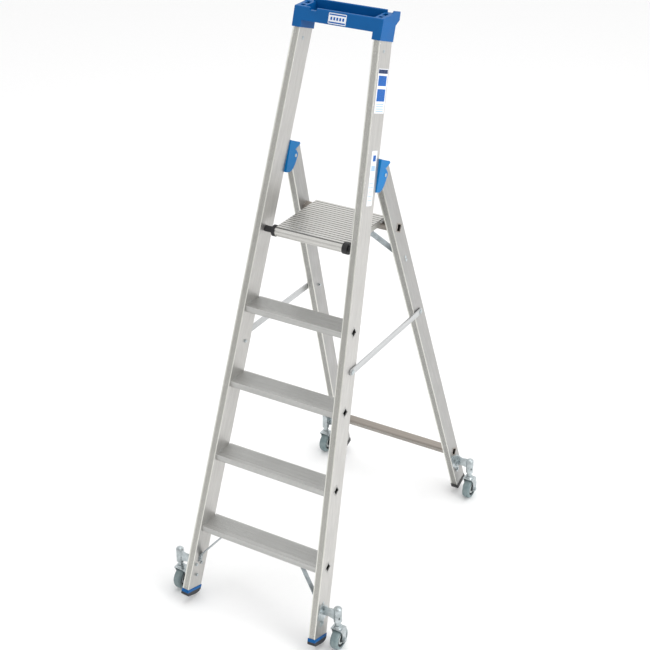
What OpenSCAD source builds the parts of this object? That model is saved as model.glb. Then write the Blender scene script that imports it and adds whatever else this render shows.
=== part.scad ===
// Folding mobile platform stepladder on four spring-loaded swivel castors.
// Millimetres, +Z up, +X to the right of a person who climbs it, front at -Y.

/* [Stance] */
// Lean of the front frame from the vertical, degrees
front_lean = 17.6; // [10:0.1:25]
// Lean of the rear frame from the vertical, degrees
rear_lean = 19.6; // [10:0.1:25]
// Y of the front plane of the stiles at the floor
front_y = -560; // [-800:1:-300]
// Y of the rear plane of the legs at the floor
rear_y = 560; // [300:1:800]
// Half the outer width of the front frame at the floor
front_half = 258.6; // [180:0.1:350]
// Half the outer width of the rear frame at the floor
rear_half = 260.3; // [180:0.1:350]
// Inward splay of each stile, degrees
front_splay = 3.3; // [0:0.01:6]
// Inward splay of each leg, degrees
rear_splay = 3.39; // [0:0.01:6]

/* [Stiles and legs] */
// Stile width across the ladder
stile_w = 24; // [18:0.5:35]
// Stile depth
stile_d = 75; // [50:1:110]
// Distance up the stile to its top end
stile_top = 1955; // [1500:1:2500]
// Leg width across the ladder
leg_w = 25; // [18:0.5:35]
// Leg depth
leg_d = 58; // [40:1:90]
// Distance up the leg to its top end
leg_top = 1538; // [1200:1:2000]
// Wall of the hollow sections
wall = 2; // [1:0.1:4]

/* [Treads] */
// Number of treads below the platform
tread_count = 4; // [2:1:6]
// Rise from one tread to the next
tread_pitch = 240; // [200:1:300]
// Height of the first tread top
tread_first = 276; // [150:1:350]
// Tread depth, front to back
tread_depth = 80; // [60:1:120]
// Height of the tread nose
nose_h = 23; // [15:1:35]

/* [Platform] */
// Height of the platform top
deck_z = 1240; // [900:1:1800]
// X of the deck's left edge
deck_left = -121; // [-150:1:-90]
// X of the deck's right edge
deck_right = 133; // [90:1:135]
// Y of the deck nose
deck_front = -150; // [-200:1:-100]
// Y of the deck's rear edge
deck_rear = 106; // [60:1:160]
// Y of the platform pivot
pivot_y = -137; // [-180:1:-100]
// Z of the platform pivot
pivot_z = 1226; // [900:1:1800]

/* [Main hinge] */
// Y of the hinge pin of the rear frame
hinge_y = 14.6; // [-50:0.1:80]
// Z of the hinge pin of the rear frame
hinge_z = 1419; // [1200:1:1700]
// Hinge pin radius
pin_r = 4; // [3:0.5:6]
// Radial clearance of a turning fit
fit = 0.05; // [0.02:0.01:0.1]

/* [Castors] */
// Wheel radius
wheel_r = 39; // [30:0.5:60]
// X of the front castors
castor_front_x = 303.5; // [280:0.5:360]
// Y of the swivel axis of the front castors
castor_front_y = -481; // [-560:1:-400]
// X of the rear castors
castor_rear_x = 305.5; // [280:0.5:360]
// Y of the swivel axis of the rear castors
castor_rear_y = 482; // [400:1:560]
// Trail of the wheel behind the swivel axis
trail = 6.5; // [4:0.5:30]

/* [Hidden] */
$fn = 48;
gap = 0.05;
far = 3000;

aluminium = [0.78, 0.79, 0.78];
zinc = [0.66, 0.71, 0.73];
blue = [0.02, 0.30, 0.62];
black = [0.08, 0.08, 0.09];
tyre_grey = [0.45, 0.53, 0.54];
white = [0.92, 0.93, 0.95];

// distance up the stile to the lower edge of the tray's front panel
panel_s = 1939;
// diamond tube ends: depth in the stile, drop below the tread, half diagonal
tube_d = 34;
tube_drop = 6.5;
tube_half = 16;
tube_wall = 2;
hinge_s = (hinge_y - front_y) * sin(front_lean) + hinge_z * cos(front_lean);
hinge_d = (hinge_y - front_y) * cos(front_lean) - hinge_z * sin(front_lean);
pivot_s = (pivot_y - front_y) * sin(front_lean) + pivot_z * cos(front_lean);
pivot_d = (pivot_y - front_y) * cos(front_lean) - pivot_z * sin(front_lean);

strut_in = 206.5;
strut_t = 5;
strut_w = 22;
strut_front = [-238.5, 868];
strut_rear = [219, 870.7];
stud_r = 4;

// ---------------------------------------------------------------- frames

module both_sides() {
  children();
  mirror([1, 0, 0]) children();
}

module on_side(side) {
  mirror([side < 0 ? 1 : 0, 0, 0]) children();
}

// x right, y into the frame from the front plane, z up the lean
module front_plane() {
  translate([0, front_y, 0]) rotate([-front_lean, 0, 0]) children();
}

// x right, y from the rear plane (inside is negative), z up the lean
module rear_plane() {
  translate([0, rear_y, 0]) rotate([rear_lean, 0, 0]) children();
}

// x outward from the outer face of the stile on +X
module on_stile() {
  front_plane() translate([front_half, 0, 0]) rotate([0, -front_splay, 0]) children();
}

module on_leg() {
  rear_plane() translate([rear_half, 0, 0]) rotate([0, -rear_splay, 0]) children();
}

function tube_s(top) = (top - tube_drop + tube_d * sin(front_lean)) / cos(front_lean);
function tread_top(k) = tread_first + (k - 1) * tread_pitch;
function nose_y(top) = front_y + top * tan(front_lean) + 5;

module x_rod(r, x0, x1) {
  translate([x0, 0, 0]) rotate([0, 90, 0]) cylinder(r = r, h = x1 - x0);
}

// domed rivet head rising along +x from x = 0
module rivet_head(r, h) {
  rotate([0, 90, 0]) {
    cylinder(r = r, h = h / 2);
    translate([0, 0, h / 2]) cylinder(r1 = r, r2 = r * 0.55, h = h / 2);
  }
}

module hex_head(across, h) {
  rotate([0, 90, 0]) cylinder(r = across / sqrt(3), h = h, $fn = 6);
}

module rounded_rect(w, h, r) {
  translate([r, 0]) square([w - 2 * r, h]);
  translate([0, r]) square([w, h - 2 * r]);
  for (x = [r, w - r])
    for (y = [r, h - r])
      translate([x, y]) circle(r = r);
}

// ---------------------------------------------------------------- front frame

rib_count = 5;
rib_groove = 1.6;
rib_deep = 0.7;

// stile section: ribbed front and rear faces, hollow
module stile_section() {
  difference() {
    translate([-stile_w, 0]) square([stile_w, stile_d]);
    translate([-stile_w + wall, wall]) square([stile_w - 2 * wall, stile_d - 2 * wall]);
    for (i = [0 : rib_count - 1])
      translate([-stile_w + stile_w * (i + 1) / (rib_count + 1) - rib_groove / 2, 0])
        for (y = [0, stile_d - rib_deep])
          translate([0, y]) square([rib_groove, rib_deep]);
  }
}

foot_s = 49;
castor_holes_front = [[150, 17], [150, 45], [109, 31]];
castor_hole_r = 3;
rivet_r = 2.5;
brace_rivets_front = [[174, 34], [163, 34]];
front_rivet_holes = [[1892, 29]];

module tube_prism(half, x0, x1) {
  translate([x0, 0, 0]) rotate([45, 0, 0])
    translate([0, -half / sqrt(2), -half / sqrt(2)])
      cube([x1 - x0, half * sqrt(2), half * sqrt(2)]);
}

module at_tube(k) {
  front_plane() translate([0, tube_d, tube_s(tread_top(k))]) children();
}

module front_stile() {
  difference() {
    on_stile() translate([0, 0, foot_s]) linear_extrude(height = stile_top - foot_s) stile_section();
    for (k = [1 : tread_count]) at_tube(k) tube_prism(tube_half + gap, 0, front_half + 50);
    on_stile() {
      for (p = castor_holes_front)
        translate([0, p[1], p[0]]) x_rod(castor_hole_r + gap, -stile_w - 10, 10);
      for (p = brace_rivets_front)
        translate([0, p[1], p[0]]) x_rod(rivet_r + gap, -stile_w - 1, -stile_w + wall + 1);
      for (p = front_rivet_holes)
        translate([0, p[1], p[0]]) x_rod(rivet_r + gap, -stile_w - 1, 1);
      translate([0, 31, 175]) x_rod(rivet_r + gap, -wall - 1, 1);
    }
    translate([0, strut_front[0], strut_front[1]]) x_rod(5 + gap, 150, 240);
    translate([0, pivot_y, pivot_z]) x_rod(pin_r + gap, 150, 166);
  }
}

module front_stile_left() {
  color(aluminium) on_side(-1) front_stile();
}

module front_stile_right() {
  color(aluminium) front_stile();
}

// removes all that lies outside the inner faces of the stiles
module between_stiles(clear) {
  difference() {
    children();
    both_sides() on_stile() translate([-stile_w - clear, -300, -100]) cube([400, 900, 2400]);
  }
}

groove_w = 1.6;
groove_deep = 1;
tread_pl = 3;

// tread section in the YZ plane: [0, 0] is the top of the nose
module tread_section() {
  difference() {
    union() {
      translate([0, -tread_pl]) square([tread_depth, tread_pl]);
      difference() {
        union() {
          translate([5, -nose_h]) square([9, nose_h]);
          translate([0, -nose_h + 5]) square([14, nose_h - 8]);
          translate([3, -3]) circle(r = 3);
          translate([5, -nose_h + 5]) circle(r = 5);
        }
        translate([2.5, -nose_h + 5]) square([9, nose_h - 8]);
      }
      translate([tread_depth - 2.5, -16]) square([2.5, 16]);
      translate([tread_depth - 8, -16]) square([8, 2]);
    }
    for (y = [16 : 5 : tread_depth - 5])
      translate([y, -groove_deep]) square([groove_w, groove_deep + 1]);
    translate([-1, -1.5]) square([1.2, 2]);
  }
}

keel_w = 20;
keel_s = 21.4;
flange_half = 18.5;
flange_t = 1.3;

module tread(k) {
  top = tread_top(k);
  color(aluminium) difference() {
    union() {
      between_stiles(gap) difference() {
        union() {
          translate([-front_half, nose_y(top), top]) rotate([90, 0, 90])
            linear_extrude(height = 2 * front_half) tread_section();
          intersection() {
            at_tube(k) translate([-front_half, -keel_w / 2, -keel_s])
              cube([2 * front_half, keel_w, keel_s + 8]);
            translate([-far, -far, -far]) cube([2 * far, 2 * far, far + top - 1.2]);
          }
        }
        at_tube(k) translate([-front_half, -keel_w / 2 + 2, -keel_s + 2])
          cube([2 * front_half, keel_w - 4, 12]);
      }
      intersection() {
        at_tube(k) tube_prism(tube_half, -front_half, front_half);
        both_sides() on_stile() translate([-stile_w - 1, 0, 0]) cube([stile_w + 1, stile_d, 2000]);
      }
      both_sides() flange(k);
    }
    intersection() {
      at_tube(k) tube_prism(tube_half - tube_wall, -far, far);
      both_sides() on_stile() translate([-stile_w + 1, -50, 0]) cube([stile_w + 50, stile_d + 100, 2000]);
    }
  }
}

// flared diamond lip on the outer face of the stile
module flange(k) {
  s = tube_s(tread_top(k)) / cos(front_splay);
  on_stile() translate([0, tube_d, s]) tube_prism(flange_half, 0, flange_t);
}

module tread_1() {
  tread(1);
}

module tread_2() {
  tread(2);
}

module tread_3() {
  tread(3);
}

module tread_4() {
  tread(4);
}

function inner_x(s) = front_half - stile_w / cos(front_splay) - s * tan(front_splay);
function leg_inner_x(s) = rear_half - leg_w / cos(rear_splay) - s * tan(rear_splay);

brace_t = 3;

// flat bar bent at both ends: lower tab on an inner face, upper tab under a rail
module brace_path(x_low, s_low, x_bend, s_bend, x_top, s_top, x_end) {
  polygon([
    [x_low, s_low], [x_bend, s_bend], [x_top, s_top - brace_t * 0.3], [x_end, s_top - brace_t * 0.3],
    [x_end, s_top - brace_t * 1.3], [x_top - 1.2, s_top - brace_t * 1.3],
    [x_bend - brace_t, s_bend - 1.4], [x_low - brace_t, s_low]
  ]);
}

module tread_braces() {
  s_top = tube_s(tread_top(1)) - keel_s + brace_t * 0.3 - gap;
  color(zinc) both_sides() difference() {
    front_plane() translate([0, tube_d + 10, 0]) rotate([90, 0, 0]) linear_extrude(height = 20)
      brace_path(inner_x(157) - gap, 157, inner_x(180) - gap, 180, 150, s_top, 124);
    on_stile() for (p = brace_rivets_front)
      translate([0, p[1], p[0]]) x_rod(rivet_r + gap, -stile_w - 10, 0);
  }
}

// ---- feet

collar = 1.2;
foot_ring_h = 11;

module front_feet() {
  color(blue) both_sides() on_stile() difference() {
    translate([-stile_w - collar, -collar, foot_s + gap])
      cube([stile_w + 2 * collar, stile_d + 2 * collar, foot_ring_h]);
    translate([-stile_w - gap, -gap, foot_s - 1])
      cube([stile_w + 2 * gap, stile_d + 2 * gap, foot_ring_h + 4]);
  }
}

// side view of a sole, x = depth, y = distance up the stile
module sole_shape() {
  polygon([[-collar, foot_s - gap], [-collar, 42], [0, 40], [6, 36], [45, 33], [60, 34], [72, 38],
    [stile_d + collar, 44], [stile_d + collar, foot_s - gap]]);
}

module front_soles() {
  color(black) both_sides() on_stile() translate([-stile_w - collar, 0, 0]) rotate([90, 0, 90])
    linear_extrude(height = stile_w + 2 * collar) sole_shape();
}

// ---- main hinge

cheek_out = 174.3;
cheek_in = 143.8;
cheek_t = 3;

// side view of a hinge cheek, x = depth, y = distance up the stile
module cheek_shape() {
  difference() {
    union() {
      polygon([[stile_d + gap, 1474], [98, 1474], [112, 1482], [122, 1496], [128, 1512], [130, 1532],
        [120, 1543], [111, 1546], [126, 1555], [137, 1563], [132, 1569], [100, 1572], [stile_d + gap, 1575]]);
      translate([hinge_d, hinge_s]) circle(r = 13.5);
    }
    translate([hinge_d, hinge_s]) circle(r = pin_r + gap);
  }
}

module hinge_bracket() {
  difference() {
    union() {
      front_plane() {
        for (x = [cheek_in - cheek_t, cheek_out])
          translate([x, 0, 0]) rotate([90, 0, 90]) linear_extrude(height = cheek_t) cheek_shape();
        translate([cheek_in - cheek_t, stile_d + gap, 1474])
          cube([cheek_out + 2 * cheek_t - cheek_in, 4, 101]);
      }
      rear_plane() translate([cheek_in - cheek_t, -14, leg_top + 0.4])
        cube([cheek_out + 2 * cheek_t - cheek_in, 10, 9]);
    }
    front_plane() for (s = [1496, 1556])
      translate([(cheek_in + cheek_out) / 2, stile_d - 1, s]) rotate([-90, 0, 0])
        cylinder(r = 2.5 + gap, h = 6);
  }
}

module hinge_bracket_left() {
  color(blue) on_side(-1) hinge_bracket();
}

module hinge_bracket_right() {
  color(blue) hinge_bracket();
}

module hinge_pins() {
  color(zinc) both_sides() translate([0, hinge_y, hinge_z]) {
    x_rod(pin_r, cheek_in - cheek_t - 0.5, cheek_out + cheek_t + 0.5);
    translate([cheek_out + cheek_t, 0, 0]) rivet_head(5.5, 2.5);
    translate([cheek_in - cheek_t, 0, 0]) mirror([1, 0, 0]) rivet_head(5.5, 2.5);
  }
}

module front_rivets() {
  color(zinc) both_sides() {
    on_stile() {
      for (p = brace_rivets_front) translate([-stile_w, p[1], p[0]]) {
        x_rod(rivet_r, -brace_t - 1, wall + 3);
        translate([-brace_t - 0.4, 0, 0]) mirror([1, 0, 0]) rivet_head(5, 2.2);
      }
      for (p = front_rivet_holes) translate([0, p[1], p[0]]) {
        x_rod(rivet_r, -stile_w, 0.5);
        rivet_head(5.5, 2.2);
        translate([-stile_w, 0, 0]) mirror([1, 0, 0]) rivet_head(5.5, 2.2);
      }
      translate([0, 31, 175]) {
        x_rod(rivet_r, -wall - 2, 0.5);
        rivet_head(5, 2);
      }
    }
    translate([0, strut_front[0], strut_front[1]]) {
      x_rod(5, strut_in - 30, strut_in + strut_t + 1);
      translate([strut_in + strut_t + 0.5, 0, 0]) rivet_head(9, 3.5);
      difference() {
        x_rod(9, strut_in - 3.5, strut_in - 0.3);
        translate([0, -strut_front[0], -strut_front[1]])
          on_stile() translate([-200, -20, 0]) cube([200 + gap, 120, 2000]);
      }
    }
    front_plane() for (s = [1496, 1556])
      translate([(cheek_in + cheek_out) / 2, stile_d + gap + 4, s]) rotate([-90, 0, 0]) {
        translate([0, 0, -3.9]) cylinder(r = 2.5, h = 4.5);
        cylinder(r1 = 5, r2 = 3, h = 2);
      }
  }
}

// ---- platform pivots

// outer faces of the platform's end caps
cap_left = 131;
cap_right = 138;
bush_r = 10;

// bush fixed to a stile, with the pin on which the platform turns
module platform_pivot(x_cap) {
  difference() {
    translate([0, pivot_y, pivot_z]) x_rod(bush_r, x_cap + 0.3, 175);
    on_stile() translate([-stile_w - gap, -20, 0]) cube([200, 120, 2000]);
  }
  translate([0, pivot_y, pivot_z]) x_rod(pin_r, x_cap - 9, 164);
}

module platform_pivots() {
  color(black) {
    platform_pivot(cap_right);
    on_side(-1) platform_pivot(cap_left);
  }
}

// ---- tool tray

tray_half = 150;
tray_rim = 1888;
tray_floor = 1858;
recess_half = 117;

module yz(x0, x1) {
  translate([x0, 0, 0]) rotate([90, 0, 90]) linear_extrude(height = x1 - x0) children();
}

module tool_tray() {
  color(blue) difference() {
    union() {
      yz(-tray_half, tray_half)
        polygon([[16.4, 1836.7], [32.2, 1886], [34.5, tray_rim], [106, tray_rim], [109.3, 1850.2],
          [96.9, 1811.2]]);
      both_sides() yz(tray_half - 5, tray_half)
        polygon([[80, 1860], [80, tray_rim], [92, 1889], [103.5, 1895], [137, 1885.5], [138.6, 1883],
          [133.4, 1860.5], [109.3, 1850.2]]);
      both_sides() yz(121, tray_half)
        polygon([[17.5, 1840], [97.8, 1814.4], [94.8, 1804.5], [14.25, 1830]]);
      yz(-125, 125) polygon([[101, 1880], [101, 1894], [103, 1896], [106, 1896], [106, 1880]]);
    }
    front_plane() translate([-121, -30, 1880]) cube([242, 160, panel_s - 1880]);
    both_sides() on_stile() translate([-stile_w - gap, -gap, 1850])
      cube([stile_w + 2 * gap, stile_d + 2 * gap, stile_top + 0.5 - 1850]);
    yz(-recess_half, recess_half)
      polygon([[42, tray_floor], [38, tray_rim + 20], [101, tray_rim + 20], [101, tray_floor]]);
    yz(-112, 112) polygon([[46, 1855], [98, 1855], [98, 1780], [46, 1780]]);
    both_sides() translate([124, 44, 1874]) cube([14, 14, 30]);
    both_sides() translate([124, 68, 1874]) cube([14, 22, 30]);
    translate([-98, 28, 1880]) cube([24, 20, 20]);
  }
}

module labels() {
  color(white) {
    front_plane() translate([-30, -6 - 0.35, 1942]) cube([60, 0.3, 32]);
    on_stile() {
      translate([gap, 8, 1712]) cube([0.3, 62, 130]);
      translate([gap, 25, 1437]) cube([0.3, 34, 165]);
    }
  }
}

// ---- castors

sleeve_z = [111, 160];
sleeve_r = 13;
bore_r = 10.8;
plunger_r = 10.7;
crown_z = 82;
plate_t = 3;
// turn of the slot in the sleeve, from the front towards the outside
slot_turn = 50;
slot_z = 129;
// offset of each web from the axis of its sleeve
web_front = -6;
web_rear = 8.6;

module castor_sleeve() {
  rotate_extrude() translate([0, sleeve_z[1]]) polygon([
    [bore_r, sleeve_z[0] - sleeve_z[1]], [sleeve_r, sleeve_z[0] - sleeve_z[1]], [sleeve_r, 0],
    [sleeve_r - 3, 4], [sleeve_r - 8, 6.5], [0, 7], [0, 0], [bore_r, 0]
  ]);
}

module sleeve_cuts() {
  translate([0, 0, sleeve_z[0] - 1]) cylinder(r = bore_r, h = sleeve_z[1] - sleeve_z[0] + 1);
  translate([0, 0, slot_z]) rotate([0, 0, slot_turn]) rotate([90, 0, 0]) linear_extrude(height = 40)
    polygon([[-2.2, -3], [-1.2, -4], [1.2, -4], [2.2, -3], [2.2, 3], [1.2, 4], [-1.2, 4], [-2.2, 3]]);
}

// arm in the XZ plane from the plate at x0 to the sleeve at x1, a little waisted
module castor_web(x0, x1) {
  xm = (x0 + x1) / 2;
  translate([0, plate_t / 2, 0]) rotate([90, 0, 0]) linear_extrude(height = plate_t)
    polygon([[x0, 120], [xm, 123], [x1, 118], [x1, 159], [xm, 155], [x0, 157]]);
}

module castor_bracket_front() {
  difference() {
    union() {
      on_stile() translate([gap, 0, 0]) rotate([90, 0, 90]) linear_extrude(height = plate_t)
        polygon([[3, 124], [3, 145], [8, 162], [16, 173], [24, 173], [26, 168], [38, 168], [60, 156],
          [60, 126], [42, 120], [40, 100], [34, 96], [26, 96], [21, 100], [20, 120]]);
      translate([castor_front_x, castor_front_y, 0]) castor_sleeve();
      translate([0, castor_front_y + web_front, 0]) castor_web(248, castor_front_x - sleeve_r + 3.5);
    }
    translate([castor_front_x, castor_front_y, 0]) sleeve_cuts();
    on_stile() {
      for (p = castor_holes_front)
        translate([0, p[1], p[0]]) x_rod(castor_hole_r + gap, -1, plate_t + 1);
      translate([-80, -80, 0]) cube([80 + gap, 300, 400]);
    }
  }
}

module castor_bracket_fl() {
  color(zinc) on_side(-1) castor_bracket_front();
}

module castor_bracket_fr() {
  color(zinc) castor_bracket_front();
}

castor_holes_rear = [[176, 40], [150, 34], [127, 36]];

module castor_bracket_back() {
  difference() {
    union() {
      on_leg() translate([gap, 0, 0]) rotate([90, 0, 90]) linear_extrude(height = plate_t)
        polygon([[-57, 212], [-52, 214], [-16, 184], [1, 158], [0, 146], [-22, 138], [-28, 120],
          [-32, 114], [-40, 114], [-44, 120], [-46, 140], [-57, 160]]);
      translate([castor_rear_x, castor_rear_y, 0]) castor_sleeve();
      translate([0, castor_rear_y + web_rear, 0]) castor_web(249, castor_rear_x - sleeve_r + 6.5);
    }
    translate([castor_rear_x, castor_rear_y, 0]) sleeve_cuts();
    on_leg() {
      for (p = castor_holes_rear)
        translate([0, -p[1], p[0]]) x_rod(castor_hole_r + gap, -1, plate_t + 1);
      translate([-80, -200, 0]) cube([80 + gap, 300, 400]);
    }
  }
}

module castor_bracket_rl() {
  color(zinc) on_side(-1) castor_bracket_back();
}

module castor_bracket_rr() {
  color(zinc) castor_bracket_back();
}

module castor_bolt(width) {
  x_rod(castor_hole_r, -width - 5, plate_t + 2);
  translate([plate_t + 2 * gap, 0, 0]) hex_head(10, 4);
  translate([-width - 5 - gap, 0, 0]) hex_head(10, 5);
}

module castor_bolts_front() {
  color(zinc) both_sides() on_stile() for (p = castor_holes_front)
    translate([0, p[1], p[0]]) castor_bolt(stile_w);
}

module castor_bolts_rear() {
  color(zinc) both_sides() on_leg() for (p = castor_holes_rear)
    translate([0, -p[1], p[0]]) castor_bolt(leg_w);
}

module at_castor(pos) {
  on_side(pos[0]) translate([pos[1], pos[2], 0]) children();
}

fl = [-1, castor_front_x, castor_front_y];
fr = [1, castor_front_x, castor_front_y];
rl = [-1, castor_rear_x, castor_rear_y];
rr = [1, castor_rear_x, castor_rear_y];

plunger_top = 120;
spring_turns = 7;
spring_steps = 14;
spring_sides = 6;
wire_r = 1.3;
spring_r = 7.4;

// helical compression spring between the plunger and the closed top of the sleeve
module coil_spring(z0, z1) {
  n = spring_turns * spring_steps;
  lift = z1 - z0 - 2 * wire_r - 1;
  points = [for (i = [0 : n]) for (j = [0 : spring_sides - 1])
    let (a = 360 * i / spring_steps, b = 360 * j / spring_sides, r = spring_r + wire_r * cos(b))
    [r * cos(a), r * sin(a), z0 + wire_r + 0.5 + lift * i / n + wire_r * sin(b)]];
  sides = [for (i = [0 : n - 1]) for (j = [0 : spring_sides - 1]) for (half = [0, 1])
    let (p = i * spring_sides + j, q = i * spring_sides + (j + 1) % spring_sides)
    half == 0 ? [p, q, q + spring_sides] : [p, q + spring_sides, p + spring_sides]];
  polyhedron(points = points, faces = concat(sides,
    [[for (j = [spring_sides - 1 : -1 : 0]) j]],
    [[for (j = [0 : spring_sides - 1]) n * spring_sides + j]]));
}

module castor_spring(pos) {
  color(zinc) at_castor(pos) coil_spring(plunger_top, sleeve_z[1]);
}

module castor_spring_fl() {
  castor_spring(fl);
}

module castor_spring_fr() {
  castor_spring(fr);
}

module castor_spring_rl() {
  castor_spring(rl);
}

module castor_spring_rr() {
  castor_spring(rr);
}

stem_r = 6;
fork_top = 95;

// sliding stem: plunger in the sleeve, neck, swivel journal and rivet head under the crown
module castor_stem(pos) {
  color(zinc) at_castor(pos) rotate_extrude() polygon([
    [0, 79.3], [9, 79.3], [9, crown_z - 0.3], [stem_r, crown_z - 0.3], [stem_r, fork_top + 0.3],
    [8.5, fork_top + 0.3], [8.5, 112], [plunger_r, 112], [plunger_r, plunger_top], [5, plunger_top],
    [5, 142], [4, 143.5], [0, 143.5]
  ]);
}

module castor_stem_fl() {
  castor_stem(fl);
}

module castor_stem_fr() {
  castor_stem(fr);
}

module castor_stem_rl() {
  castor_stem(rl);
}

module castor_stem_rr() {
  castor_stem(rr);
}

fork_in = 16.5;
fork_t = 2.5;

// side view of a fork leg, x along the travel
module fork_leg_shape() {
  polygon([[-12, crown_z + 3], [-12, crown_z - 2], [-6, 72], [-2, 60], [-1, 42], [trail - 6, 31],
    [trail, 26.5], [trail + 7, 29], [trail + 12, 36], [22, 48], [22, crown_z - 2], [19, crown_z + 3]]);
}

module castor_fork(pos) {
  color(zinc) at_castor(pos) difference() {
    union() {
      for (x = [-fork_in - fork_t, fork_in]) yz(x, x + fork_t) fork_leg_shape();
      translate([-fork_in - 1, -12, crown_z]) cube([2 * fork_in + 2, 31, 3]);
      translate([0, 0, crown_z + 2.5]) cylinder(r1 = 13.5, r2 = 10, h = 6);
      translate([0, 0, crown_z + 8]) cylinder(r = 12, h = fork_top - crown_z - 8);
    }
    translate([0, 0, crown_z - 1]) cylinder(r = stem_r + fit, h = 20);
    translate([0, trail, wheel_r]) x_rod(4 + gap, -40, 40);
  }
}

module castor_fork_fl() {
  castor_fork(fl);
}

module castor_fork_fr() {
  castor_fork(fr);
}

module castor_fork_rl() {
  castor_fork(rl);
}

module castor_fork_rr() {
  castor_fork(rr);
}

module castor_axle(pos) {
  color(zinc) at_castor(pos) translate([0, trail, wheel_r]) {
    x_rod(4, -fork_in - fork_t - 2, fork_in + fork_t + 8);
    translate([fork_in + fork_t + gap, 0, 0]) hex_head(13, 6.5);
    translate([-fork_in - fork_t - 5 - gap, 0, 0]) hex_head(13, 5);
  }
}

module castor_axle_fl() {
  castor_axle(fl);
}

module castor_axle_fr() {
  castor_axle(fr);
}

module castor_axle_rl() {
  castor_axle(rl);
}

module castor_axle_rr() {
  castor_axle(rr);
}

tyre_half = 13.5;
rim_r = 28;

module wheel_turn() {
  translate([0, trail, wheel_r]) rotate([0, 90, 0]) rotate_extrude($fn = 64) children();
}

module castor_rim(pos) {
  color(black) at_castor(pos) wheel_turn() polygon([
    [4 + fit, -15.5], [9, -15.5], [11, -12], [13, -5.5], [22, -5.5], [25, -13], [rim_r, -13],
    [rim_r, 13], [25, 13], [22, 5.5], [13, 5.5], [11, 12], [9, 15.5], [4 + fit, 15.5]
  ]);
}

module castor_rim_fl() {
  castor_rim(fl);
}

module castor_rim_fr() {
  castor_rim(fr);
}

module castor_rim_rl() {
  castor_rim(rl);
}

module castor_rim_rr() {
  castor_rim(rr);
}

module castor_tyre(pos) {
  color(tyre_grey) at_castor(pos) wheel_turn() polygon([
    [rim_r + gap, -tyre_half], [32, -tyre_half], [35.8, -12], [38.2, -8], [wheel_r, -3],
    [wheel_r, 3], [38.2, 8], [35.8, 12], [32, tyre_half], [rim_r + gap, tyre_half]
  ]);
}

module castor_tyre_fl() {
  castor_tyre(fl);
}

module castor_tyre_fr() {
  castor_tyre(fr);
}

module castor_tyre_rl() {
  castor_tyre(rl);
}

module castor_tyre_rr() {
  castor_tyre(rr);
}

// ---------------------------------------------------------------- rear frame

rear_foot_s = 42;
bar_top = [1298, 27.6];
bar_low = [214, 28];
rear_tube_half = 17.5;
rear_flange_half = 20.5;
brace_rivets_rear = [[1166, 30], [1179, 30]];

module leg_section() {
  difference() {
    translate([-leg_w, -leg_d]) square([leg_w, leg_d]);
    translate([-leg_w + wall, -leg_d + wall]) square([leg_w - 2 * wall, leg_d - 2 * wall]);
    for (i = [0 : rib_count - 1])
      translate([-leg_w + leg_w * (i + 1) / (rib_count + 1) - rib_groove / 2, 0])
        for (y = [-leg_d, -rib_deep])
          translate([0, y]) square([rib_groove, rib_deep]);
  }
}

module at_bar(bar) {
  rear_plane() translate([0, -bar[1], bar[0]]) children();
}

module rear_leg() {
  difference() {
    on_leg() translate([0, 0, rear_foot_s]) linear_extrude(height = leg_top - rear_foot_s) leg_section();
    for (bar = [bar_top, bar_low]) at_bar(bar) tube_prism(rear_tube_half + gap, 0, rear_half + 50);
    translate([0, hinge_y, hinge_z]) x_rod(pin_r + fit, 100, 220);
    on_leg() {
      for (p = castor_holes_rear)
        translate([0, -p[1], p[0]]) x_rod(castor_hole_r + gap, -leg_w - 10, 10);
      for (p = brace_rivets_rear)
        translate([0, -p[1], p[0]]) x_rod(rivet_r + gap, -leg_w - 1, 1);
    }
    translate([0, strut_rear[0], strut_rear[1]]) x_rod(stud_r + gap, 150, 240);
  }
}

module rear_leg_left() {
  color(aluminium) on_side(-1) rear_leg();
}

module rear_leg_right() {
  color(aluminium) rear_leg();
}

bar_d = 30;
bar_h = 25;

module bar_section() {
  difference() {
    translate([-bar_d / 2, -bar_h / 2]) rounded_rect(bar_d, bar_h, 6);
    translate([-bar_d / 2 + wall, -bar_h / 2 + wall]) rounded_rect(bar_d - 2 * wall, bar_h - 2 * wall, 4);
    for (y = [-5, 0, 5]) for (x = [-bar_d / 2, bar_d / 2 - rib_deep])
      translate([x, y - rib_groove / 2]) square([rib_deep, rib_groove]);
  }
}

module rear_bar(bar) {
  s = bar[0] / cos(rear_splay);
  difference() {
    union() {
      difference() {
        at_bar(bar) yz(-rear_half, rear_half) bar_section();
        both_sides() on_leg() translate([-leg_w - gap, -300, -100]) cube([400, 900, 2400]);
      }
      intersection() {
        at_bar(bar) tube_prism(rear_tube_half, -rear_half, rear_half);
        both_sides() on_leg() translate([-leg_w - 1, -leg_d, 0]) cube([leg_w + 1, leg_d, 2000]);
      }
      both_sides() on_leg() translate([0, -bar[1], s]) tube_prism(rear_flange_half, 0, flange_t);
    }
    intersection() {
      at_bar(bar) tube_prism(rear_tube_half - tube_wall, -far, far);
      both_sides() on_leg() translate([-leg_w + 1, -leg_d - 50, 0]) cube([leg_w + 50, leg_d + 100, 2000]);
    }
  }
}

module rear_top_bar() {
  color(aluminium) rear_bar(bar_top);
}

module rear_bottom_bar() {
  color(aluminium) rear_bar(bar_low);
}

module rear_braces() {
  s_top = bar_top[0] - bar_h / 2 + brace_t * 0.3 - gap;
  color(zinc) both_sides() difference() {
    rear_plane() translate([0, -20, 0]) rotate([90, 0, 0]) linear_extrude(height = 20)
      brace_path(leg_inner_x(1158) - gap, 1158, leg_inner_x(1186) - gap, 1186, 32, s_top, 8);
    on_leg() for (p = brace_rivets_rear)
      translate([0, -p[1], p[0]]) x_rod(rivet_r + gap, -leg_w - 10, 0);
  }
}

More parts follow.
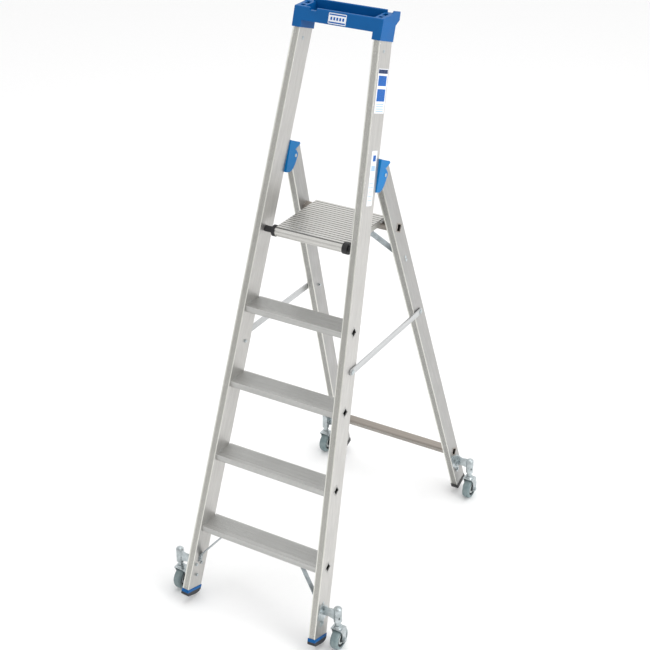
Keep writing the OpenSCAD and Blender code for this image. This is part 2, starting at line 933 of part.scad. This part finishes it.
module rear_feet() {
  color(black) both_sides() on_leg() {
    difference() {
      translate([-leg_w - collar, -leg_d - collar, 38])
        cube([leg_w + 2 * collar, leg_d + 2 * collar, 17]);
      translate([-leg_w - gap, -leg_d - gap, rear_foot_s])
        cube([leg_w + 2 * gap, leg_d + 2 * gap, 30]);
    }
  }
}

module rear_rivets() {
  color(zinc) both_sides() {
    on_leg() for (p = brace_rivets_rear) translate([0, -p[1], p[0]]) {
      x_rod(rivet_r, -leg_w - brace_t - 1, 0.5);
      rivet_head(5.5, 2.2);
      translate([-leg_w - brace_t - 0.4, 0, 0]) mirror([1, 0, 0]) rivet_head(5, 2.2);
    }
    translate([0, strut_rear[0], strut_rear[1]]) {
      x_rod(stud_r, strut_in - 34, strut_in + strut_t + 2);
      translate([strut_in + strut_t + 0.5, 0, 0]) rivet_head(7, 3);
    }
  }
}

// ---------------------------------------------------------------- platform

// axis of the rounded nose, its radius, and its end on the right
nose_axis = [deck_front + 16, deck_z - 16];
nose_r = 16;
nose_right = 120;
nose_back = deck_front + 29;
rib_pitch = 13.8;
rib_gap = 3.8;
lip_z = deck_z - 10.5;

module deck_section() {
  difference() {
    union() {
      translate([nose_axis[0] + 2, deck_z - 3.5]) square([deck_rear - nose_axis[0] - 2, 3.5]);
      difference() {
        union() {
          translate(nose_axis) circle(r = nose_r, $fn = 64);
          translate([nose_axis[0], deck_z - 32]) square([9, 32]);
        }
        translate(nose_axis) circle(r = nose_r - 3, $fn = 64);
        translate([nose_axis[0], deck_z - 29]) square([6.5, 26]);
      }
      translate([deck_rear - 2.5, lip_z]) square([2.5, 9]);
      for (y = [-70, -10, 45])
        translate([y, deck_z - 18]) square([2.5, 16]);
    }
    for (y = [deck_front + 23 : rib_pitch : deck_rear - 8])
      translate([y, deck_z - 1.8]) square([rib_gap, 3]);
    for (turn = [18, 67])
      translate(nose_axis) rotate(turn) translate([-rib_gap / 2, nose_r - 1.5]) square([rib_gap, 3]);
  }
}

// side skirt of the deck
module skirt_shape() {
  polygon([[nose_back, deck_z - 20], [66, deck_z - 20], [74, lip_z], [deck_rear, lip_z],
    [deck_rear, deck_z - 2], [nose_back, deck_z - 2]]);
}

module platform_deck() {
  color(aluminium) {
    difference() {
      yz(deck_left, deck_right) deck_section();
      translate([nose_right, deck_front - 20, deck_z - 50]) cube([50, nose_back - deck_front + 20, 60]);
    }
    yz(deck_left, deck_left + 2.5) skirt_shape();
    yz(deck_right - 2.5, deck_right) skirt_shape();
  }
}

module end_cap(x0, x1) {
  difference() {
    yz(x0, x1) difference() {
      translate(nose_axis) circle(r = nose_r + 2.5, $fn = 64);
      translate([nose_back - gap, deck_z - 50]) square([20, 60]);
    }
    translate([0, pivot_y, pivot_z]) x_rod(pin_r + fit, x0 - 1, x1 + 1);
  }
}

module platform_end_caps() {
  color(black) {
    end_cap(nose_right + gap, cap_right);
    end_cap(-cap_left, deck_left - gap);
  }
}

hook_t = 4.5;
hook_y = 102;

// side view of a hook that drops over the top bar of the rear frame
module hook_shape() {
  polygon([[70, deck_z - 4], [hook_y, deck_z - 4], [hook_y + 17, deck_z - 8], [hook_y + 19, deck_z - 26],
    [hook_y + 14, deck_z - 26], [hook_y + 12, deck_z - 10.5], [70, deck_z - 11]]);
}

module platform_hooks() {
  color(aluminium) {
    yz(deck_left - hook_t, deck_left - gap) hook_shape();
    yz(deck_right + gap, deck_right + hook_t) hook_shape();
  }
}

// ---------------------------------------------------------------- struts

notch_r = 4.8;
notch_half = 4.5;
notch_angle = 65;
strut_len = strut_rear[0] - strut_front[0];
strut_tilt = atan2(strut_rear[1] - strut_front[1], strut_len);

module strut() {
  yz(strut_in, strut_in + strut_t) difference() {
    union() {
      translate(strut_front) rotate(strut_tilt) translate([0, -strut_w / 2 + 0.5])
        square([strut_len, strut_w - 1]);
      translate(strut_front) circle(r = strut_w / 2);
      translate(strut_rear) circle(r = strut_w / 2);
    }
    translate(strut_front) circle(r = 5 + fit);
    translate(strut_rear) {
      circle(r = notch_r);
      rotate(180 + notch_angle) translate([0, -notch_half]) square([30, 2 * notch_half]);
    }
  }
}

module strut_left() {
  color(aluminium) on_side(-1) strut();
}

module strut_right() {
  color(aluminium) strut();
}

// ---------------------------------------------------------------- nodes

front_stile_left();
front_stile_right();
tread_1();
tread_2();
tread_3();
tread_4();
tread_braces();
tool_tray();
front_feet();
front_soles();
hinge_bracket_left();
hinge_bracket_right();
hinge_pins();
front_rivets();
labels();
platform_pivots();
castor_bolts_front();
castor_bracket_fl();
castor_bracket_fr();
castor_spring_fl();
castor_spring_fr();
rear_leg_left();
rear_leg_right();
rear_top_bar();
rear_bottom_bar();
rear_braces();
rear_feet();
rear_rivets();
castor_bolts_rear();
castor_bracket_rl();
castor_bracket_rr();
castor_spring_rl();
castor_spring_rr();
platform_deck();
platform_end_caps();
platform_hooks();
strut_left();
strut_right();
castor_stem_fl();
castor_stem_fr();
castor_stem_rl();
castor_stem_rr();
castor_fork_fl();
castor_fork_fr();
castor_fork_rl();
castor_fork_rr();
castor_axle_fl();
castor_axle_fr();
castor_axle_rl();
castor_axle_rr();
castor_rim_fl();
castor_rim_fr();
castor_rim_rl();
castor_rim_rr();
castor_tyre_fl();
castor_tyre_fr();
castor_tyre_rl();
castor_tyre_rr();
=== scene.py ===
"""Looks of the folding platform stepladder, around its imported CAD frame. Metres."""
import math

import bpy
from mathutils import Matrix, Vector


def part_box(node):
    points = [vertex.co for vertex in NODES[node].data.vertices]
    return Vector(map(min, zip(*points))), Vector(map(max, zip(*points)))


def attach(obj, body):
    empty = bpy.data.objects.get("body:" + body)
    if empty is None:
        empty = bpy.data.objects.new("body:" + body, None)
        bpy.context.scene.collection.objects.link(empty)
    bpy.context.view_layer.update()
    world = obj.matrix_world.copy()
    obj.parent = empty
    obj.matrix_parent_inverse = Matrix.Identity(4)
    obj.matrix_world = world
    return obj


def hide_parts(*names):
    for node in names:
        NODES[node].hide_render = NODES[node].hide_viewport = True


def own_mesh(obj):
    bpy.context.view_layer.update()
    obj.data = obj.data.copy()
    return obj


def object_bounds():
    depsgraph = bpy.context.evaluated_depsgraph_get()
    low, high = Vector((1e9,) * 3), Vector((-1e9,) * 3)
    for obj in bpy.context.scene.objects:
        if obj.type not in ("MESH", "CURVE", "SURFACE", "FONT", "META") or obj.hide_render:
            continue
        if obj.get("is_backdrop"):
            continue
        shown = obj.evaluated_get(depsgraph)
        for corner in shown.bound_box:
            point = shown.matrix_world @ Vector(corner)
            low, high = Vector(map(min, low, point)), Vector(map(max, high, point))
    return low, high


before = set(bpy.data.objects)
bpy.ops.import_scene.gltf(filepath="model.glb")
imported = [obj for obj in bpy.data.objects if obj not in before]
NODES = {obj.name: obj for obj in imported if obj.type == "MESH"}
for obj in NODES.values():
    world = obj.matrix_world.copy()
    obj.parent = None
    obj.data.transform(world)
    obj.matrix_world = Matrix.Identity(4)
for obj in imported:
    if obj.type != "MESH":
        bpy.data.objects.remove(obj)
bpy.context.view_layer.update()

FRONT_LEAN = math.radians(17.6)
REAR_LEAN = math.radians(19.6)
FRONT_SPLAY = math.radians(3.3)
FRONT_FOOT_Y = -0.560  # where the front plane meets the floor
FRONT_HALF, FRONT_SLOPE = 0.258, 0.0605  # outer stile faces: |x| = half - slope * z
REAR_HALF, REAR_SLOPE = 0.2597, 0.0629  # outer leg faces
STILE_FACE_X = 0.2586  # outer stile face at the floor, where the stickers are set out
CASTORS = {"fl": "front_left", "fr": "front_right", "rl": "rear_left", "rr": "rear_right"}

# ------------------------------------------------------------------ materials


class Surface:
    """A Principled material with a small graph builder."""

    def __init__(self, name, **sockets):
        self.mat = bpy.data.materials.new(name)
        self.mat.use_nodes = True
        self.tree = self.mat.node_tree
        self.tree.nodes.clear()
        self.out = self.tree.nodes.new("ShaderNodeOutputMaterial")
        self.bsdf = self.tree.nodes.new("ShaderNodeBsdfPrincipled")
        self.tree.links.new(self.bsdf.outputs[0], self.out.inputs[0])
        for key, value in sockets.items():
            self.bsdf.inputs[key.replace("_", " ")].default_value = value

    def node(self, kind, props=None, **inputs):
        n = self.tree.nodes.new("ShaderNode" + kind)
        for key, value in (props or {}).items():
            setattr(n, key, value)
        for key, value in inputs.items():
            by_index = key[0] == "i" and key[1:].isdigit()
            socket = n.inputs[int(key[1:]) if by_index else key.replace("_", " ")]
            if isinstance(value, bpy.types.NodeSocket):
                self.tree.links.new(value, socket)
            else:
                socket.default_value = value
        return n

    def position(self, rotation=(0, 0, 0), scale=(1, 1, 1)):
        at = self.node("TexCoord").outputs["Object"]
        turned = self.node("Mapping", Vector=at, Rotation=rotation)
        return self.node("Mapping", Vector=turned.outputs[0], Scale=scale).outputs[0]

    def axis(self, index):
        return self.node("SeparateXYZ", i0=self.node("TexCoord").outputs["Object"]).outputs[index]

    def inside(self, half, slope):
        """Distance out of the plane |x| = half - slope * z."""
        return self.math("SUBTRACT", self.math("ADD", self.math("ABSOLUTE", self.axis(0)),
                                               self.math("MULTIPLY", self.axis(2), slope)), half)

    def noise(self, where, scale, detail=3.0, rough=0.55):
        return self.node("TexNoise", Vector=where, Scale=scale, Detail=detail, Roughness=rough).outputs[0]

    def remap(self, value, low, high, to_low, to_high):
        return self.node("MapRange", Value=value, From_Min=low, From_Max=high, To_Min=to_low,
                         To_Max=to_high).outputs[0]

    def math(self, kind, a, b=0.0):
        return self.node("Math", {"operation": kind}, i0=a, i1=b).outputs[0]

    def mix(self, factor, a, b):
        n = self.node("Mix", {"data_type": "RGBA"}, i0=factor)
        for index, value in ((6, a), (7, b)):
            if isinstance(value, bpy.types.NodeSocket):
                self.tree.links.new(value, n.inputs[index])
            else:
                n.inputs[index].default_value = (*value, 1)
        return n.outputs[2]

    def edges(self, radius):
        """Rounded shading normal, and a mask that is 1 on outer edges."""
        round_normal = self.node("Bevel", {"samples": 6}, Radius=radius).outputs[0]
        flat = self.node("NewGeometry").outputs["Normal"]
        return round_normal, self.remap(self.dot(round_normal, flat), 0.995, 0.85, 0.0, 1.0)

    def dot(self, a, b):
        return self.node("VectorMath", {"operation": "DOT_PRODUCT"}, i0=a, i1=b).outputs["Value"]

    def bump(self, height, strength, distance, normal=None):
        more = {"Normal": normal} if normal else {}
        return self.node("Bump", Height=height, Strength=strength, Distance=distance, **more).outputs[0]

    def wire(self, **links):
        for key, value in links.items():
            self.tree.links.new(value, self.bsdf.inputs[key.replace("_", " ")])
        return self.mat


def drawn_metal(name, tint, along, rotation=(0, 0, 0), rough=0.4, edge=0.0008, metallic=0.85, dull=0.9,
                groove_shade=None, bore=None, rib_shading=None):
    """Extruded aluminium: die lines along the section, oxide clouds, painted highlights on the corners.

    The groove tuple (top, low, high, share) paints shade at depths low to high under the top.
    bore is (half, slope, width): unlit inside of tube ends, between outer faces at |x| = half - slope * z.
    The rib tuple (half, slope, width, facing) paints shade on the ribbed faces across facing, and highlights on
    their lips.
    """
    s = Surface(name, Metallic=metallic)
    stretch = [650.0, 650.0, 650.0]
    stretch["xyz".index(along)] = 2.5
    lines = s.noise(s.position(rotation, stretch), 1.0, 2.0)
    wide = [c * 0.36 if c > 10 else c * 0.4 for c in stretch]
    bands = s.noise(s.position(rotation, wide), 1.0, 1.5)
    clouds = s.noise(s.position(rotation), 9.0, 4.0, 0.6)
    specks = s.noise(s.position(rotation), 260.0, 2.0)
    normal, edge_highlight = s.edges(edge)
    dark = tuple(c * dull for c in tint)
    body = s.mix(s.remap(lines, 0.3, 0.7, 0.0, 1.0), dark, tint)
    body = s.mix(s.remap(bands, 0.4, 0.62, 0.55, 0.0), body, tuple(c * 0.78 for c in tint))
    body = s.mix(s.remap(clouds, 0.35, 0.7, 0.0, 0.35), body, tuple(c * 0.86 for c in tint))
    body = s.mix(s.remap(specks, 0.68, 0.8, 0.0, 0.25), body, tuple(c * 0.7 for c in tint))
    # painted shade: the groove bottoms are darkened to a fifth of the tint
    if groove_shade:
        top, shallow, deep, share = groove_shade
        depth = s.math("SUBTRACT", top, s.axis(2))
        groove_shade_mask = s.math("MULTIPLY", s.remap(depth, shallow, shallow + 0.0002, 0.0, 1.0),
                      s.remap(depth, deep, deep + 0.0002, 1.0, 0.0))
        body = s.mix(s.math("MULTIPLY", groove_shade_mask, share), body, tuple(c * 0.2 for c in tint))
    # painted shade on the ribbed faces, painted highlights along their lips
    if rib_shading:
        half, slope, width, facing = rib_shading
        inside = s.inside(half, slope)
        lip_highlight = s.math("ADD", s.remap(inside, -0.0042, -0.0034, 0.0, 1.0),
                      s.remap(inside, 0.0034 - width, 0.0042 - width, 1.0, 0.0))
        turned = s.dot(s.node("TexCoord").outputs["Normal"], facing)
        flat = s.remap(s.math("ABSOLUTE", turned), 0.85, 0.95, 0.0, 1.0)
        ribbed_face_shade = (tint[0] * 0.72, tint[1] * 0.72, tint[2] * 0.68)
        body = s.mix(s.math("MULTIPLY", flat, 0.75), body, ribbed_face_shade)
        body = s.mix(s.math("MULTIPLY", s.math("MULTIPLY", flat, lip_highlight), 0.9), body, (0.86, 0.86, 0.80))
    if bore:
        half, slope, width = bore
        inside = s.inside(half, slope)
        shade = s.math("MULTIPLY", s.remap(inside, -0.004, -0.001, 1.0, 0.0),
                       s.remap(inside, -width, 0.0005 - width, 0.0, 1.0))
        body = s.mix(s.math("MULTIPLY", shade, 0.94), body, (0.012, 0.012, 0.013))
    # painted highlight: every outer edge is lightened towards near white
    body = s.mix(s.math("MULTIPLY", edge_highlight, 0.6), body, (0.93, 0.94, 0.93))
    coarse = s.remap(clouds, 0.3, 0.7, rough - 0.06, rough + 0.08)
    coarse = s.math("ADD", coarse, s.remap(lines, 0.3, 0.7, -0.05, 0.05))
    coarse = s.math("SUBTRACT", coarse, s.math("MULTIPLY", edge_highlight, 0.12))
    return s.wire(Base_Color=body, Roughness=coarse, Normal=s.bump(lines, 0.12, 0.0002, normal))


def zinc(name, tint, rough=0.3):
    """Blue passivated zinc plate: soft cloudy patches, fine grain, painted highlights on the rims."""
    s = Surface(name, Metallic=0.9)
    at = s.position()
    patches = s.noise(at, 55.0, 4.0, 0.65)
    grain = s.noise(at, 900.0, 2.0)
    normal, edge_highlight = s.edges(0.0006)
    body = s.mix(s.remap(patches, 0.35, 0.65, 0.0, 1.0), tuple(c * 0.66 for c in tint), tint)
    # painted highlight: the rims are lightened towards near white
    body = s.mix(s.math("MULTIPLY", edge_highlight, 0.6), body, (0.88, 0.91, 0.92))
    coarse = s.remap(patches, 0.3, 0.7, rough + 0.1, rough - 0.08)
    return s.wire(Base_Color=body, Roughness=coarse, Normal=s.bump(grain, 0.15, 0.0001, normal))


def moulded(name, tint, rough=0.35, grain_size=700.0, edge=0.0012, rub=1.8, lift=0.03, **sockets):
    """Injection moulded plastic: fine spark texture, slight flow marks, painted highlights on the edges."""
    s = Surface(name, **sockets)
    at = s.position()
    flow = s.noise(at, 18.0, 3.0, 0.5)
    grain = s.noise(at, grain_size, 3.0, 0.7)
    normal, edge_highlight = s.edges(edge)
    body = s.mix(s.remap(flow, 0.35, 0.65, 0.0, 1.0), tuple(c * 0.9 for c in tint), tint)
    # painted highlight: the edge colour is the tint raised by the gain and lift
    pale = tuple(min(1.0, c * rub + lift) for c in tint)
    body = s.mix(s.math("MULTIPLY", edge_highlight, 0.45), body, pale)
    coarse = s.remap(flow, 0.3, 0.7, rough - 0.05, rough + 0.07)
    return s.wire(Base_Color=body, Roughness=coarse, Normal=s.bump(grain, 0.25, 0.00012, normal))


def tyre_rubber(name):
    """Grey wheel rubber with moulding grain and a little floor dust."""
    s = Surface(name)
    at = s.position()
    dust = s.noise(at, 45.0, 5.0, 0.65)
    grain = s.noise(at, 500.0, 3.0, 0.7)
    normal, edge_highlight = s.edges(0.0015)
    body = s.mix(s.remap(dust, 0.4, 0.7, 0.0, 1.0), (0.165, 0.225, 0.235), (0.26, 0.32, 0.325))
    # painted highlight: the rounded edges are lightened to a pale grey
    body = s.mix(s.math("MULTIPLY", edge_highlight, 0.3), body, (0.38, 0.44, 0.44))
    coarse = s.remap(dust, 0.3, 0.7, 0.5, 0.68)
    return s.wire(Base_Color=body, Roughness=coarse, Normal=s.bump(grain, 0.35, 0.0002, normal))


def printed_film(name, tint, **sockets):
    """Vinyl sticker film with a slight orange-peel gloss."""
    s = Surface(name, **sockets)
    peel = s.noise(s.position(), 260.0, 2.0)
    stain = s.noise(s.position(), 30.0, 3.0)
    body = s.mix(s.remap(stain, 0.35, 0.7, 0.0, 1.0), tint, tuple(c * 0.93 for c in tint))
    coarse = s.remap(stain, 0.3, 0.7, 0.22, 0.34)
    return s.wire(Base_Color=body, Roughness=coarse, Normal=s.bump(peel, 0.08, 0.0001))


deck_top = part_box("platform_deck")[1].z
# ribbed stile and leg faces get painted shade, with painted highlights on their lips
front_alu = drawn_metal("alu_stile", (0.60, 0.59, 0.57), "z", (FRONT_LEAN, 0, 0),
                        rib_shading=(FRONT_HALF, FRONT_SLOPE, 0.024, (0.0, math.cos(FRONT_LEAN), -math.sin(FRONT_LEAN))))
rear_alu = drawn_metal("alu_leg", (0.45, 0.445, 0.435), "z", (-REAR_LEAN, 0, 0),
                       rib_shading=(REAR_HALF, REAR_SLOPE, 0.025, (0.0, math.cos(REAR_LEAN), math.sin(REAR_LEAN))))
tread_alu = drawn_metal("alu_tread", (0.54, 0.54, 0.525), "x", rough=0.44, edge=0.0006,
                        bore=(FRONT_HALF, FRONT_SLOPE, 0.0235))
# the deck's groove bottoms get painted shade
deck_alu = drawn_metal("alu_deck", (0.70, 0.69, 0.66), "x", rough=0.4, edge=0.0005,
                       groove_shade=(deck_top, 0.0002, 0.0022, 0.9))
bar_alu = drawn_metal("alu_bar", (0.37, 0.335, 0.30), "x", rough=0.42, bore=(REAR_HALF, REAR_SLOPE, 0.0245))
strut_alu = drawn_metal("alu_strut", (0.60, 0.61, 0.615), "y", rough=0.38)
zinc_mat = zinc("zinc_plate", (0.56, 0.615, 0.63))
brace_zinc = zinc("zinc_brace", (0.36, 0.40, 0.42))
BLUE_FINISH = dict(rough=0.42, rub=1.4, lift=0.01, Specular_IOR_Level=0.2)
blue_mat = moulded("blue_plastic", (0.001, 0.104, 0.33), **BLUE_FINISH)
hinge_blue = moulded("blue_hinge", (0.001, 0.17, 0.46), **BLUE_FINISH)
black_mat = moulded("black_plastic", (0.012, 0.012, 0.014), rough=0.45, rub=3.0, lift=0.02)
sole_mat = moulded("sole_rubber", (0.03, 0.031, 0.036), rough=0.6, grain_size=420.0)
rim_mat = moulded("rim_plastic", (0.018, 0.028, 0.032), rough=0.45, rub=2.5, lift=0.02)
disc_mat = moulded("disc_plastic", (0.52, 0.57, 0.57), rough=0.4, rub=1.1, lift=0.02)
tyre_mat = tyre_rubber("tyre_grey")
film_mat = printed_film("film_white", (0.80, 0.83, 0.88))
ink_mat = printed_film("film_blue", (0.0, 0.10, 0.40), Specular_IOR_Level=0.2)
ink_dark = printed_film("film_navy", (0.01, 0.03, 0.10), Specular_IOR_Level=0.2)
ink_pale = printed_film("film_pale_blue", (0.36, 0.52, 0.74))


def paint(material, *names):
    for name in names:
        mesh = NODES[name].data
        for index in range(len(mesh.materials)):
            mesh.materials[index] = material
        if not mesh.materials:
            mesh.materials.append(material)


paint(front_alu, "front_stile_left", "front_stile_right")
paint(rear_alu, "rear_leg_left", "rear_leg_right")
paint(tread_alu, *(f"tread_{k}" for k in (1, 2, 3, 4)))
paint(deck_alu, "platform_deck")
paint(bar_alu, "rear_top_bar", "rear_bottom_bar")
paint(strut_alu, "strut_left", "strut_right", "platform_hooks")
paint(brace_zinc, "tread_braces", "rear_braces")
paint(zinc_mat, "front_rivets", "rear_rivets", "hinge_pins",
      "castor_bolts_front", "castor_bolts_rear")
paint(blue_mat, "tool_tray", "front_feet")
paint(hinge_blue, "hinge_bracket_left", "hinge_bracket_right")
paint(black_mat, "rear_feet", "platform_pivots", "platform_end_caps")
paint(sole_mat, "front_soles")
for c in CASTORS:
    paint(zinc_mat, *(f"castor_{part}_{c}" for part in ("bracket", "spring", "stem", "fork", "axle")))
    paint(rim_mat, f"castor_rim_{c}")
    paint(tyre_mat, f"castor_tyre_{c}")

# ------------------------------------------------------------------ mesh helpers


def add_mesh(name, verts, faces, material, body, smooth=False):
    mesh = bpy.data.meshes.new(name)
    mesh.from_pydata([tuple(v) for v in verts], [], faces)
    mesh.materials.append(material)
    mesh.validate()
    mesh.update()
    for poly in mesh.polygons:
        poly.use_smooth = smooth
    obj = bpy.data.objects.new(name, mesh)
    bpy.context.scene.collection.objects.link(obj)
    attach(obj, body)
    return obj


def lathe_x(name, profile, centre, material, body, segments=64):
    """Closed ring from (x, radius) points turned about the X axis through centre."""
    n = len(profile)
    verts = []
    for i in range(segments):
        a = 2 * math.pi * i / segments
        verts += [centre + Vector((x, r * math.cos(a), r * math.sin(a))) for x, r in profile]
    faces = []
    for i in range(segments):
        for j in range(n):
            a, b = i * n + j, i * n + (j + 1) % n
            c, d = ((i + 1) % segments) * n + (j + 1) % n, ((i + 1) % segments) * n + j
            faces.append((a, b, c, d))
    obj = add_mesh(name, verts, faces, material, body, smooth=True)
    split = obj.modifiers.new("sharp", "EDGE_SPLIT")
    split.split_angle = math.radians(35)
    return obj


# wheel discs: a pale dished ring on each side of every wheel, as (x, radius)
DISC = ((0.0082, 0.0135), (0.0112, 0.0145), (0.0122, 0.0165),
        (0.0110, 0.0188), (0.0066, 0.0198), (0.0058, 0.0135))
for c in CASTORS:
    low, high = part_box(f"castor_rim_{c}")
    hub = (low + high) / 2
    for side, word in ((-1, "inner"), (1, "outer")):
        ring = [(side * x, r) for x, r in DISC]
        lathe_x(f"wheel_disc_{c}_{word}", ring, hub, disc_mat, f"wheel_{c}")

# coil springs in the castor sleeves, wound inside the boxes of the imported spring parts, which are hidden
SPRING_WIRE = 0.0012  # radius
SPRING_TURNS = 7


def coil(name, low, high, wire, turns, material, body):
    """Round wire wound up the Z axis inside the box low to high."""
    around, sides = 20, 8
    steps = turns * around
    centre = (low + high) / 2
    radius = (high.x - low.x) / 2 - wire
    verts = []
    for i in range(steps + 1):
        turn = 2 * math.pi * i / around
        z = low.z + wire + (high.z - low.z - 2 * wire) * i / steps
        for j in range(sides):
            b = 2 * math.pi * j / sides
            r = radius + wire * math.cos(b)
            verts.append((centre.x + r * math.cos(turn), centre.y + r * math.sin(turn), z + wire * math.sin(b)))
    faces = []
    for i in range(steps):
        near, far = i * sides, (i + 1) * sides
        faces += [(near + j, near + (j + 1) % sides, far + (j + 1) % sides, far + j) for j in range(sides)]
    faces += [tuple(range(sides))[::-1], tuple(steps * sides + j for j in range(sides))]
    return add_mesh(name, verts, faces, material, body, smooth=True)


for c, corner in CASTORS.items():
    low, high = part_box(f"castor_spring_{c}")
    frame_body = "front_frame" if c[0] == "f" else "rear_frame"
    spring = coil(f"coil_spring_{c}", low, high, SPRING_WIRE, SPRING_TURNS, zinc_mat, frame_body)
    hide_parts(f"castor_spring_{c}")
    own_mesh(spring)

# ------------------------------------------------------------------ stickers

front_frame = Matrix.Translation((0, FRONT_FOOT_Y, 0)) @ Matrix.Rotation(-FRONT_LEAN, 4, "X")
stile_face = front_frame @ Matrix.Translation((STILE_FACE_X, 0, 0)) @ Matrix.Rotation(-FRONT_SPLAY, 4, "Y")

FILM_TOP, FILM_BASE = 0.00032, 0.00002  # heights over the face
PRINT_TOP, PRINT_BASE = 0.00037, 0.0003


def sticker(name, place, width, height, radius, prints):
    """Film on the plane z = 0 of place, centred, with printed rectangles (x, y, w, h, material)."""
    outline = []
    for cx, cy, start in ((1, 1, 0), (-1, 1, 90), (-1, -1, 180), (1, -1, 270)):
        for step in range(5):
            a = math.radians(start + 22.5 * step)
            outline.append((cx * (width / 2 - radius) + radius * math.cos(a),
                            cy * (height / 2 - radius) + radius * math.sin(a)))
    verts = [place @ Vector((x, y, z)) for z in (FILM_TOP, FILM_BASE) for x, y in outline]
    n = len(outline)
    faces = [tuple(range(n)), tuple(range(2 * n - 1, n - 1, -1))]
    faces += [(i + n, (i + 1) % n + n, (i + 1) % n, i) for i in range(n)]
    film = add_mesh(name, verts, faces, film_mat, "front_frame")
    for index, (x, y, w, h, ink) in enumerate(prints):
        corners = [(x - w / 2, y - h / 2), (x + w / 2, y - h / 2), (x + w / 2, y + h / 2), (x - w / 2, y + h / 2)]
        verts = [place @ Vector((px, py, z)) for z in (PRINT_TOP, PRINT_BASE) for px, py in corners]
        faces = [(0, 1, 2, 3), (7, 6, 5, 4)]
        faces += [(4 + i, 4 + (i + 1) % 4, (i + 1) % 4, i) for i in range(4)]
        add_mesh(f"{name}_print_{index}", verts, faces, ink, "front_frame")
    return film


def on_stile_face(s, d):
    """Plane of the right stile's outer face: x forward (towards the front), y up the stile, z outward."""
    axes = Matrix(((0, 0, 1, 0), (1, 0, 0, 0), (0, 1, 0, 0), (0, 0, 0, 1)))
    return stile_face @ Matrix.Translation((0.00002, d, s)) @ axes


def on_tray_front(s):
    """Plane of the tray's front face: x to the right, y up the front, z outward."""
    axes = Matrix(((1, 0, 0, 0), (0, 0, -1, 0), (0, 1, 0, 0), (0, 0, 0, 1)))
    return front_frame @ Matrix.Translation((0, -0.0061, s)) @ axes


upper = [(0.0, 0.057, 0.058, 0.012, ink_dark),
         (0.0, 0.030, 0.052, 0.030, ink_mat),
         (0.0, -0.012, 0.052, 0.036, ink_mat)]
upper += [(0.0, -0.038 - 0.007 * k, 0.046, 0.003, ink_pale) for k in range(4)]
films = [sticker("sticker_upper", on_stile_face(1.777, 0.040), 0.062, 0.130, 0.002, upper)]
lower = [(0.002, 0.060, 0.018, 0.018, ink_mat), (0.0, 0.030, 0.024, 0.016, ink_pale)]
lower += [(0.0, -0.066 + 0.013 * k, 0.024, 0.0022, ink_pale) for k in range(6)]
films.append(sticker("sticker_lower", on_stile_face(1.5195, 0.042), 0.034, 0.165, 0.002, lower))
badge = [(0.0, 0.0115, 0.056, 0.004, ink_mat), (0.0, -0.0115, 0.056, 0.004, ink_mat)]
badge += [(-0.020 + 0.010 * k, 0.0, 0.006, 0.009, ink_mat) for k in range(5)]
films.append(sticker("sticker_tray", on_tray_front(1.958), 0.060, 0.032, 0.002, badge))
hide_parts("labels")

# ------------------------------------------------------------------ stage

FLOOR = 40.0  # half of its side
floor_mesh = bpy.data.meshes.new("floor")
floor_mesh.from_pydata([(-FLOOR, -FLOOR, 0), (FLOOR, -FLOOR, 0), (FLOOR, FLOOR, 0), (-FLOOR, FLOOR, 0)],
                       [], [(0, 1, 2, 3)])
floor = bpy.data.objects.new("floor", floor_mesh)
bpy.context.scene.collection.objects.link(floor)
floor_surface = Surface("floor_paint", Roughness=0.9)
mottle = floor_surface.noise(floor_surface.position(), 30.0, 4.0)
pale = floor_surface.mix(floor_surface.remap(mottle, 0.3, 0.7, 0.0, 1.0),
                         (0.955, 0.955, 0.955), (0.965, 0.965, 0.965))
floor_mesh.materials.append(floor_surface.wire(Base_Color=pale))
floor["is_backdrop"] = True

world = bpy.data.worlds.new("studio")
bpy.context.scene.world = world
world.use_nodes = True
world.node_tree.nodes["Background"].inputs[0].default_value = (1.0, 1.0, 1.0, 1)
# soft tent: brighter behind and on the right, dimmer in front
tent = world.node_tree.nodes
where = tent.new("ShaderNodeTexCoord").outputs["Generated"]
lean = tent.new("ShaderNodeVectorMath")
lean.operation = "DOT_PRODUCT"
lean.inputs[1].default_value = (0.20, 0.34, 0.0)
world.node_tree.links.new(where, lean.inputs[0])
level = tent.new("ShaderNodeMath")
level.operation = "ADD"
level.inputs[1].default_value = 0.95
world.node_tree.links.new(lean.outputs["Value"], level.inputs[0])
world.node_tree.links.new(level.outputs[0], tent["Background"].inputs[1])


def softbox(name, location, target, width, height, power):
    data = bpy.data.lights.new(name, "AREA")
    data.shape = "RECTANGLE"
    data.size, data.size_y, data.energy = width, height, power
    obj = bpy.data.objects.new(name, data)
    obj.location = location
    obj.rotation_mode = "QUATERNION"
    obj.rotation_quaternion = (Vector(target) - Vector(location)).to_track_quat("-Z", "Y")
    bpy.context.scene.collection.objects.link(obj)


softbox("key", (-3.2, -4.2, 4.6), (0, 0, 0.9), 3.5, 3.5, 25)
softbox("side", (5.0, -0.6, 2.6), (0, 0, 0.9), 2.5, 3.5, 90)
softbox("top", (0.3, 0.6, 5.5), (0, 0, 0.5), 4.0, 4.0, 60)

camera_data = bpy.data.cameras.new("camera")
camera_data.sensor_width = 36.0
camera_data.lens = 77.73
camera_data.clip_start = 0.1
camera_data.clip_end = 200.0
camera = bpy.data.objects.new("camera", camera_data)
camera.location = (2.0166, -3.4752, 3.0298)
camera.rotation_euler = (math.radians(61.67), 0.0, math.radians(30.45))
bpy.context.scene.collection.objects.link(camera)
bpy.context.scene.camera = camera
bpy.context.scene.view_settings.view_transform = "Standard"

low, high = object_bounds()
